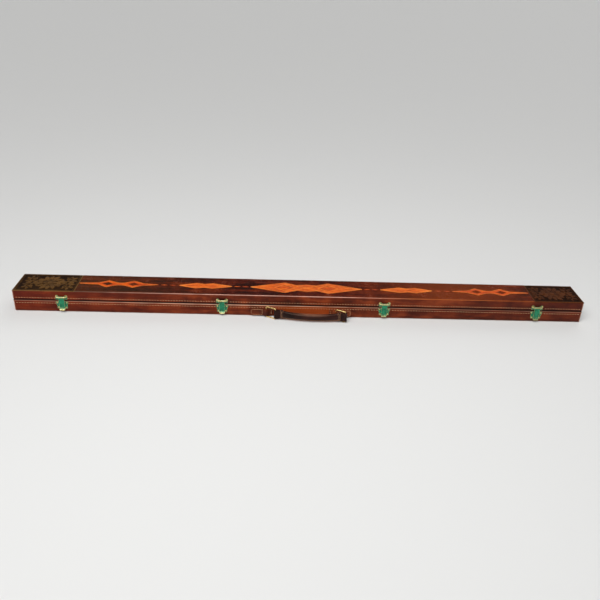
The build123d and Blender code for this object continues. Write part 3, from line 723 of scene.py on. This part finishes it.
def carving(u, v, length):
    """Relief from 0, background, to 1, surface: u runs from the outer end to the seam, v across."""
    middle = (length * 0.52, 0.0)
    ground = 0.1 + 0.09 * np.sin(u / MM * 2.9) * np.sin(v / MM * 3.1) + 0.04 * np.sin(u / MM * 7 + v / MM * 5)
    heights = [ground, flower_height(u, v, middle, 19 * MM)]
    for side in (-1, 1):
        for end in (-1, 1):
            centre = (middle[0] + end * length * 0.29, side * 20 * MM)
            start = 180 if end > 0 else 0
            turn = side * end * 500
            stem = spiral(centre, 17 * MM, 3 * MM, start, turn)
            heights.append(stem_height(u, v, stem, 2.6 * MM))
            for n, size, lean in STEM_LEAVES:
                pu, pv = stem[n]
                angle = atan2(pv - centre[1], pu - centre[0]) * 180 / pi + side * end * lean
                heights.append(leaf_height(u, v, (pu, pv), angle, size * MM, size * 0.34 * MM))
            heights.append(flower_height(u, v, centre, 5.5 * MM, 5))
        for angle, size in ROSETTE_LEAVES:
            base = (middle[0] + 16 * MM * cos(radians(angle)), side * 16 * MM * sin(radians(angle)))
            heights.append(leaf_height(u, v, base, side * angle, size * MM, size * 0.27 * MM))
    relief = np.maximum.reduce(heights)
    rim = np.minimum(np.minimum(u, length - u), HALF_WIDTH - np.abs(v))
    border = np.where(rim < 7.5 * MM, 0.3, 0.0)
    beads_u = np.cos(2 * pi * u / (3.2 * MM)) * np.cos(2 * pi * v / (3.2 * MM))
    border = np.where((rim > 3.0 * MM) & (rim < 6.2 * MM), 0.42 + 0.28 * beads_u, border)
    border = np.where(rim < 2.5 * MM, 0.96, border)
    border = np.where((rim > 6.5 * MM) & (rim < 7.5 * MM), 0.62, border)
    return np.where(rim < 7.5 * MM, border, np.clip(relief, 0, 1))


def tooled_panel(node, sign):
    """A carved leather panel: a closed sheet whose outer edges are rounded like the rest of the lid.
    sign is 1 where the seam is at the panel's +X end, and -1 where it is at its -X end."""
    step = 0.5 * MM
    seam_x, outer_x = sorted((corner[0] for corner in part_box(node)), reverse=sign > 0)
    length = abs(seam_x - outer_x)
    columns = round(length / step) + 1
    rows = round(2 * HALF_WIDTH / step) + 1
    across = np.linspace(-HALF_WIDTH, HALF_WIDTH, rows)
    u, v = np.meshgrid(np.linspace(0, length, columns), across, indexing="ij")
    relief = carving(u, v, length)
    depth = 1.05 * MM * (1 - relief)
    edge = np.minimum(u, HALF_WIDTH - np.abs(v))
    inset = np.clip(EDGE - edge, 0, EDGE)
    rounding = EDGE - np.sqrt(np.maximum(EDGE ** 2 - inset ** 2, 0.0))
    z = TOP - depth - rounding
    z = np.maximum(z, TOP - SKIN + 0.05 * MM)
    top = np.stack([outer_x + sign * u, v, z], -1).reshape(-1, 3)
    faces = ring_faces(columns, rows, closed_ring=False)
    loop = border(columns, rows)
    bottom = [(top[i][0], top[i][1], TOP - SKIN) for i in loop]
    start = len(top)
    for n in range(len(loop)):
        m = (n + 1) % len(loop)
        faces.append((loop[n], loop[m], start + m, start + n))
    faces.append(tuple(range(start, start + len(loop))))
    piece = new_piece(node.replace("tooled_panel", "carved_panel"), (list(top) + bottom, faces), "tooled",
                      "lid", [node])
    values = np.concatenate([relief.reshape(-1), np.full(len(bottom), 0.5)])
    paint(piece, "relief", values[:len(piece.data.vertices)])


# ---- lines on the lid's pattern ----
FAN = (0.22, 0.48, 0.74)    # where the fanned lines run, as shares of an inlay's half width
HUMP_LENGTH = 46.0 * MM     # of a whole inner diamond, on each side of a hump


def half_widths(node, low_x, high_x):
    """Half width of an inlay against x, from its upper outline in the CAD: two arrays."""
    corners = {}
    for vertex in NODES[node].data.vertices:
        x, y, z = vertex.co
        if low_x < x < high_x and z > TOP - 0.01 * MM and y >= 0:
            key = round(x / MM, 1)
            corners[key] = max(corners.get(key, 0.0), y)
    corners = {x: y for x, y in corners.items() if y > 0.3 * MM}
    xs = sorted(corners)
    return np.array(xs) * MM, np.array([corners[x] for x in xs])


def fanned_lines(node, low_x, high_x, shares, radius):
    """Raised lines on an inlay, each at one share of its half width on both sides of the axis."""
    xs, widths = half_widths(node, low_x, high_x)
    reach = (xs[0] + 1 * MM, xs[-1] - 1 * MM)
    count = max(12, round((reach[1] - reach[0]) / (2.5 * MM)))
    stops = sorted(set(np.linspace(*reach, count)) | {x for x in xs if reach[0] < x < reach[1]})
    parts = []
    for share in shares:
        for side in (-1, 1):
            line, radii = [], []
            for x in stops:
                y = side * share * float(np.interp(x, xs, widths))
                line.append((x, y, TOP - 0.45 * radius))
                radii.append(radius * min(1.0, 0.45 + abs(y) / (5 * MM)))
            parts.append(tube(line, radii, 6))
    return parts


def pattern_lines():
    """Lines that fan along the inlays and run round each, and inner diamonds and crossing lines."""
    reach = HALF_LENGTH
    centre = middle_of(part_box("inlay_centre"))[0]
    ribs, rims, light = [], [], []
    for node, low, high, shares in (
        ("inlay_centre", -reach, reach, FAN),
        ("inlay_lenses", -reach, centre, FAN),
        ("inlay_lenses", centre, reach, FAN),
        ("inlay_diamonds", -reach, centre, ()),
        ("inlay_diamonds", centre, reach, ()),
    ):
        ribs += fanned_lines(node, low, high, shares, 0.4 * MM)
        rims += fanned_lines(node, low, high, (0.985,), 0.42 * MM)
    dark = [closed_line(loop, 0.42 * MM) for loop in eye_outlines()]
    xs, widths = half_widths("inlay_centre", -reach, reach)
    humps = [xs[np.argmax(np.where((xs - centre) * side > 0, widths, 0))] for side in (-1, 1)]
    for hump in humps:
        for share, loops in ((0.42, dark), (0.6, light)):
            long_way, wide_way = share * HUMP_LENGTH, share * widths.max()
            corners = [(hump + long_way, 0), (hump, wide_way), (hump - long_way, 0), (hump, -wide_way)]
            loops.append(closed_line(corners, 0.6 * MM))
    for side in (-1, 1):
        ends = [(hump, end * side * 0.8 * widths.max()) for hump, end in zip(humps, (-1, 1))]
        light.append(straight_line(*ends, 0.6 * MM))
    for name, parts, material in (
        ("pattern_ribs", ribs, "inlay_rib"),
        ("pattern_rims", rims, "inlay_rim"),
        ("pattern_diamonds", dark, "inlay_groove"),
        ("pattern_chevrons", light, "inlay_rib"),
    ):
        new_piece(name, joined(parts), material, "lid")


def eye_outlines():
    """The four corners of each leather eye, in order."""
    points = [v.co.copy() for v in NODES["inlay_eyes"].data.vertices if v.co.z > TOP - 0.01 * MM]
    tips = sorted({round(p.x / MM, 1) for p in points if abs(p.y) < 0.1 * MM})
    outlines = []
    for low, high in zip(tips[::2], tips[1::2]):
        wide = max(p.y for p in points if low * MM < p.x < high * MM)
        middle = (low + high) / 2 * MM
        outlines.append([(high * MM, 0), (middle, wide), (low * MM, 0), (middle, -wide)])
    return outlines


def straight_line(start, end, radius, steps=12):
    """A raised straight line on the lid's top."""
    points = [Vector((*start, 0.0)).lerp(Vector((*end, 0.0)), n / steps) for n in range(steps + 1)]
    return tube([(p.x, p.y, TOP - 0.4 * radius) for p in points], radius, 6)


def closed_line(corners, radius):
    """A raised line round straight-sided corners, on the lid's top."""
    return joined([straight_line(a, b, radius) for a, b in zip(corners, corners[1:] + corners[:1])])


def creases():
    """A pair of pressed lines along both long edges of the lid's top."""
    low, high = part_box("lid_top_panel")
    parts = []
    for side in (-1, 1):
        for inset in (4.2 * MM, 5.6 * MM):
            y = side * (HALF_WIDTH - inset)
            line = [(x, y, TOP - 0.2 * MM) for x in np.linspace(low[0] + 2 * MM, high[0] - 2 * MM, 61)]
            parts.append(tube(line, 0.27 * MM, 6))
    new_piece("lid_creases", joined(parts), "inlay_groove", "lid")


# ---- handle and tabs ----
LEFT_BAR = JOINT["handle_on_left_ring"]
RIGHT_BAR = LEFT_BAR + JOINT["ring_right_swing"] - JOINT["handle_swing"]
SPAN = (RIGHT_BAR - LEFT_BAR).length
ALONG = (RIGHT_BAR - LEFT_BAR).normalized()
INWARD = Vector((-ALONG.y, ALONG.x, 0.0))
GRIP_END = 16.0 * MM        # from a ring's bar to the end of the grip
GRIP_Z = 16.0 * MM          # height of the grip's middle at its ends, and how far it sinks between them
GRIP_SINK = 3.8 * MM
GRIP_TALL = 12.0 * MM       # half its height at its ends, and how much less that is between them
GRIP_WAIST = 2.2 * MM
GRIP_BOW = 4.0 * MM         # how far it bows out of the case
SLEEVE_HALF = 3.6 * MM      # half the length, thickness and height of the strap's end round the grip
SLEEVE_THICK = 4.9 * MM
SLEEVE_TALL = 12.7 * MM
TAB_THICK = 4.2 * MM
TAB_SEAM = 2.2 * MM         # from a tab's upper and lower edges to its stitches


def squared(value, power):
    """A sine or cosine that makes a rounded square of a circle."""
    return copysign(abs(value) ** power, value)


def on_handle(x, y, z):
    """A point of the handle: x from the left bar, y towards the case, z up."""
    point = LEFT_BAR + ALONG * x + INWARD * y
    return Vector((point.x, point.y, z))


def grip():
    """Leather drawn round the core and pinched into a sewn flange along its lower edge."""
    count, sides = 90, 44
    length = SPAN - 2 * GRIP_END
    vertices, wear_and_painted_light = [], []
    for k in range(count + 1):
        t = k / count
        swell = max(0.0, sin(pi * t)) ** 0.6
        close = min(1.0, min(t, 1 - t) * length / (1.6 * MM))
        shrink = 0.82 + 0.18 * sqrt(1 - (1 - close) ** 2)
        tall = (GRIP_TALL - GRIP_WAIST * swell) * shrink
        thick = (3.2 + 4.4 * swell) * MM * shrink
        middle = GRIP_Z - GRIP_SINK * swell
        for n in range(sides):
            a = 2 * pi * n / sides
            up = sin(a)
            pinch = 1.0
            if up < -0.3:
                share = min(1.0, (-0.3 - up) / 0.45)
                pinch = 1 - (1 - min(1.0, 1.7 * MM / thick)) * eased(share)
            gather = near(t, 0.0, 0.16) + near(t, 1.0, 0.16)
            fold = 0.2 * MM * gather * sin(a * 9 + 3 * sin(t * 40))
            fold += 0.18 * MM * noise.noise(Vector((t * 22, cos(a) * 2, up * 2)))
            y = squared(cos(a), 0.8) * (thick * pinch + fold) - GRIP_BOW * swell
            vertices.append(on_handle(GRIP_END + length * t, y, middle + up * (tall + 0.5 * fold)))
            # wear along the underside, and a painted sheen along the top towards the middle
            wear_and_painted_light.append(0.7 * max(0.0, -up) ** 3 + 0.5 * near(t, 0.5, 0.4) * max(0.0, up) ** 4)
    shape = vertices, capped(count + 1, sides)
    replaced = ["handle_grip_cover"]
    piece = new_piece("handle_grip_leather", shape, "handle", "handle", replaced)
    paint(piece, "wear_and_painted_light", wear_and_painted_light)
    seam = []
    for k in range(7, 84):
        t = k / count
        swell = sin(pi * t) ** 0.6
        low = GRIP_Z - GRIP_TALL + (GRIP_WAIST - GRIP_SINK) * swell
        seam.append(on_handle(GRIP_END + length * t, -GRIP_BOW * swell - 1.5 * MM, low + 2.1 * MM))
    stitched_path("handle_seam_stitches", "handle", seam, -INWARD, 4.6 * MM, 3.2 * MM,
                  radius=0.36 * MM)


def sleeve(name, x):
    """The strap's end wrapped round the end of the grip, sewn with an upright row of stitches."""
    sides, count = 40, 9
    vertices, wear_and_painted_light = [], []
    for shell, order in ((0.0, range(count)), (-1.1 * MM, reversed(range(count)))):
        for k in order:
            t = k / (count - 1) * 2 - 1
            edge = 0.45 * MM * (abs(t) ** 6)
            for n in range(sides):
                a = 2 * pi * n / sides
                groove = 0.25 * MM * near(t, 0.0, 0.35) if shell == 0 else 0.0
                size = shell - edge - groove
                y = squared(cos(a), 0.55) * (SLEEVE_THICK + size)
                z = GRIP_Z + squared(sin(a), 0.8) * (SLEEVE_TALL + size)
                vertices.append(on_handle(x + t * SLEEVE_HALF, y, z))
                wear_and_painted_light.append(0.8 * abs(t) ** 5)
    faces = ring_faces(2 * count, sides)
    last = (2 * count - 1) * sides
    faces += [(last + n, last + (n + 1) % sides, (n + 1) % sides, n) for n in range(sides)]
    paint(new_piece(name, (vertices, faces), "handle", "handle"), "wear_and_painted_light", wear_and_painted_light)
    for side, out in (("front", -1), ("back", 1)):
        y = out * 4.55 * MM
        row = [on_handle(x, y, 5.4 * MM), on_handle(x, y, 26.6 * MM)]
        stitched_path(f"{name}_stitches_{side}", "handle", row, INWARD * out, 3.6 * MM, 2.7 * MM,
                      radius=0.5 * MM)


def tab_stitches(node):
    """Thread round the flat part of a tab, with rounded outer corners, and across its tail."""
    low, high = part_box(node)
    left = node.endswith("left")
    pivot = JOINT["handle_swing" if left else "ring_right_swing"].x
    away = -1 if left else 1
    face = -HALF_WIDTH - TAB_THICK + 0.12 * MM
    end = low[0] if left else high[0]
    outer, inner = end - away * 2.6 * MM, pivot + away * 10.5 * MM
    bottom, top = low[2] + TAB_SEAM, high[2] - TAB_SEAM
    corner = 4.6 * MM
    turns = [radians(90 * n / 5) for n in range(6)]
    loop = [(inner, bottom)]
    loop += [(outer - away * corner * (1 - sin(a)), bottom + corner * (1 - cos(a))) for a in turns]
    loop += [(outer - away * corner * (1 - cos(a)), top - corner * (1 - sin(a))) for a in turns]
    loop += [(inner, top), (inner, bottom)]
    tail = pivot - away * 13.6 * MM
    row = [(tail, bottom + MM), (tail, top - MM)]
    for name, path, pitch, length in (
        (f"{node}_stitches", loop, 4.0 * MM, 2.9 * MM),
        (f"{node}_tail_stitches", row, 3.6 * MM, 2.7 * MM),
    ):
        path = [(x, face, z) for x, z in path]
        stitched_path(name, "base", path, (0, -1, 0), pitch, length, radius=0.55 * MM)


# ---- lining, pads and cue ----
def tufted_pad(name, low, high):
    """A crowned plush pad that hangs from the lid's lining: sides drawn in, a button at its middle."""
    middle = middle_of((low, high))
    half = [(b - a) / 2 for a, b in zip(low, high)]
    row = 41
    vertices = []
    for i in range(row):
        for j in range(row):
            u, v = (2 * k / (row - 1) - 1 for k in (i, j))
            pull = 1 - 0.05 * (1 - v * v) * abs(u), 1 - 0.03 * (1 - u * u) * abs(v)
            dome = ((1 - u ** 6) * (1 - v ** 6)) ** 0.4
            dimple = 0.34 * np.exp(-((u * half[0]) ** 2 + (v * half[1]) ** 2) / (7 * MM) ** 2)
            tuck = 0.05 * cos(6 * atan2(v * half[1], u * half[0])) * (1 - max(abs(u), abs(v)))
            depth = 2 * half[2] * (0.16 + 0.84 * dome * (1 - dimple + tuck))
            x = middle[0] + half[0] * u * pull[0]
            y = middle[1] + half[1] * v * pull[1]
            vertices.append((x, y, high[2] - depth))
    grid = ring_faces(row, row, closed_ring=False)
    top = row * row
    vertices += [(x, y, high[2]) for x, y, _ in vertices]
    faces = grid + [tuple(top + i for i in face) for face in grid]
    loop = border(row, row)
    for n, a in enumerate(loop):
        b = loop[(n + 1) % len(loop)]
        faces.append((a, b, top + b, top + a))
    piece = new_piece(name, (vertices, faces), "plush", "lid", ["lid_pads"])
    rim = [(vertices[k][0], vertices[k][1], vertices[k][2] + 0.3 * MM) for k in loop]
    new_piece(name + "_piping", tube(rim + rim[:1], 0.8 * MM), "piping", "lid")
    centre_z = high[2] - 2 * half[2] * 0.72
    rings = [(middle[0], middle[1], centre_z + dz) for dz in (1.6 * MM, 0.4 * MM, -0.6 * MM, -1.1 * MM)]
    button = tube(rings, [3.2 * MM, 3.4 * MM, 2.6 * MM, 0.8 * MM], 20)
    new_piece(name + "_button", button, "piping", "lid")


def cue_rings():
    """Thin trim rings where the cue's pieces meet."""
    low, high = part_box("cue_butt")
    tip_low, tip_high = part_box("cue_tip")
    _, y, z = middle_of((low, high))
    start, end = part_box("cue_bumper")[0][0], tip_high[0]
    thick, thin = (high[2] - low[2]) / 2, (tip_high[2] - tip_low[2]) / 2
    for name, x, width in (
        ("cue_ring_cap", low[0], 3.0 * MM),
        ("cue_ring_low", low[0] + 60 * MM, 2.0 * MM),
        ("cue_ring_mid", low[0] + 66 * MM, 2.0 * MM),
        ("cue_ring_joint", high[0], 4.0 * MM),
    ):
        radius = thick + (thin - thick) * (x - start) / (end - start)
        line = [(x + t * width / 2, y, z) for t in (-1, -0.8, 0, 0.8, 1)]
        radii = [radius + lift * MM for lift in (-0.1, 0.3, 0.36, 0.3, -0.1)]
        new_piece(name, tube(line, radii, 48), "brass", "base")


def slotted_screws(node, body):
    """Screws with a slot across each head, in place of the CAD's plain ones."""
    parts = []
    for n, (low, high) in enumerate(islands(node)):
        x, _, z = middle_of((low, high))
        radius = (high[0] - low[0]) / 2
        floor = high[1] - SLOT_DEPTH
        rounds = [(np.linspace(0, 2 * pi, 32, endpoint=False), low[1], floor)]
        half = asin(SLOT_WIDTH / 2 / radius)
        for start in (n * GOLDEN_ANGLE, n * GOLDEN_ANGLE + pi):
            rounds.append((np.linspace(start + half, start + pi - half, 17), floor, high[1]))
        for turns, y_low, y_high in rounds:
            vertices = [(x + radius * cos(a), y, z + radius * sin(a)) for y in (y_low, y_high) for a in turns]
            parts.append((vertices, capped(2, len(turns))))
    name = node.replace("screws", "slotted_screws")
    new_piece(name, joined(parts), "brass", body, [node], smooth=False)


# ---- CAD nodes that keep their shape ----
def dress(material, *nodes, bevel=None):
    """Gives CAD nodes a material and, where wanted, softer edges."""
    for node in nodes:
        mesh = NODES[node].data
        mesh.materials.clear()
        mesh.materials.append(MATERIALS[material])
        if bevel:
            modifier = NODES[node].modifiers.new("soft_edges", "BEVEL")
            modifier.width = bevel
            modifier.segments = 3
            modifier.limit_method = "ANGLE"
            modifier.angle_limit = radians(35)
            modifier.harden_normals = False


def dress_cad():
    dress("box_wood", *[n for n in NODES if n.endswith(("_rail", "_end", "_board"))])
    dress("case", "base_cover_bottom")
    dress("top", "lid_top_panel", "inlay_eyes")
    dress("inlay", "inlay_centre", "inlay_lenses", "inlay_diamonds", "inlay_dashes")
    dress("plush", "base_lining", "lid_lining")
    dress("plush", "cue_cradles", bevel=1.2 * MM)
    # latch plates and hasps: brass under a painted green reflection
    dress("green_reflection", "latch_lid_plates", "latch_keepers", bevel=0.3 * MM)
    dress("green_reflection", *[n for n in NODES if n.startswith("latch_hasp")], bevel=0.3 * MM)
    dress("brass", "latch_rivets_base", "latch_rivets_lid", "latch_pins")
    dress("brass", "handle_ring_left", "handle_ring_right")
    dress("brass", "hinge_leaves_lid", "hinge_leaves_base", bevel=0.25 * MM)
    dress("steel", "hinge_pins")
    dress("tab", "handle_tab_left", "handle_tab_right", bevel=0.5 * MM)
    dress("handle", "handle_strap_left", "handle_strap_right", bevel=0.6 * MM)
    dress("rope", "handle_core")
    dress("rubber", "cue_bumper")
    dress("ivory", "cue_butt_cap", "cue_ferrule")
    dress("cue_maple", "cue_shaft")
    for name in ("cue_butt", "cue_tip"):
        dress(name, name)


# ---- stage ----
FLOOR_REACH = 30.0
LIGHTS = (      # kind, name, place, power, and an area light's two sizes
    ("SUN", "sun", (-0.5, -1.1, 1.5), 2.1, 0.0, 0.0),
    ("SUN", "back_fill", (0.6, 1.2, 1.0), 0.7, 0.0, 0.0),
    ("AREA", "key", (-0.45, -1.3, 1.7), 12.0, 1.2, 0.6),
    ("AREA", "strip", (0.0, -0.35, 1.5), 5.0, 2.4, 0.12),
)
CAMERA_LENS = 39.88
CAMERA_PLACE = (-0.062, -1.588, 0.867)
CAMERA_RIGHT = Vector((0.99922, -0.01866, 0.03480))
CAMERA_DOWN = Vector((0.02198, -0.46938, -0.88272))


def studio():
    """Plain pale floor, soft lights, and the camera. The world fades upwards from the floor's grey."""
    scene = bpy.context.scene
    scene.view_settings.view_transform = "Standard"
    world = bpy.data.worlds.new("studio")
    world.use_nodes = True
    tree = world.node_tree
    direction = tree.nodes.new("ShaderNodeTexCoord").outputs["Generated"]
    parts = tree.nodes.new("ShaderNodeSeparateXYZ")
    fall = tree.nodes.new("ShaderNodeMapRange")
    for name, value in (("From Min", 0.14), ("From Max", 0.28), ("To Min", 0.56), ("To Max", 0.05)):
        fall.inputs[name].default_value = value
    tree.links.new(direction, parts.inputs[0])
    tree.links.new(parts.outputs["Z"], fall.inputs["Value"])
    tree.links.new(fall.outputs["Result"], tree.nodes["Background"].inputs["Strength"])
    tree.nodes["Background"].inputs["Color"].default_value = (1.0, 0.99, 0.98, 1.0)
    scene.world = world
    mesh = bpy.data.meshes.new("floor")
    corners = [(x * FLOOR_REACH, y * FLOOR_REACH, 0) for x, y in ((-1, -1), (1, -1), (1, 1), (-1, 1))]
    mesh.from_pydata(corners, [], [(0, 1, 2, 3)])
    floor = bpy.data.objects.new("floor", mesh)
    scene.collection.objects.link(floor)
    pale = Finish("floor", Base_Color=(0.74, 0.74, 0.73, 1.0), Roughness=0.9)
    mesh.materials.append(pale.material)
    for kind, name, where, power, size_x, size_y in LIGHTS:
        data = bpy.data.lights.new(name, kind)
        data.energy = power
        if kind == "SUN":
            data.angle = radians(50)
        else:
            data.shape = "RECTANGLE"
            data.size, data.size_y = size_x, size_y
        light = bpy.data.objects.new(name, data)
        light.location = where
        light.visible_glossy = name != "back_fill"
        light.rotation_euler = (-Vector(where)).to_track_quat("-Z", "Y").to_euler()
        scene.collection.objects.link(light)
    lens = bpy.data.cameras.new("camera")
    lens.sensor_width = 36.0
    lens.lens = CAMERA_LENS
    lens.clip_start = 0.05
    camera = bpy.data.objects.new("camera", lens)
    ahead = CAMERA_RIGHT.cross(CAMERA_DOWN).normalized()
    matrix = Matrix((CAMERA_RIGHT, -CAMERA_DOWN, -ahead)).transposed().to_4x4()
    matrix.translation = CAMERA_PLACE
    camera.matrix_world = matrix
    scene.collection.objects.link(camera)
    scene.camera = camera


dress_cad()
covers()
case_stitches()
tooled_panel("tooled_panel_left", 1)
tooled_panel("tooled_panel_right", -1)
pattern_lines()
creases()
grip()
sleeve("handle_sleeve_left", GRIP_END + 0.6 * MM)
sleeve("handle_sleeve_right", SPAN - GRIP_END - 0.6 * MM)
tab_stitches("handle_tab_left")
tab_stitches("handle_tab_right")
for number, (pad_low, pad_high) in enumerate(islands("lid_pads"), 1):
    tufted_pad(f"lid_pad_{number}", pad_low, pad_high)
cue_rings()
slotted_screws("hinge_screws_lid", "lid")
slotted_screws("hinge_screws_base", "base")
studio()
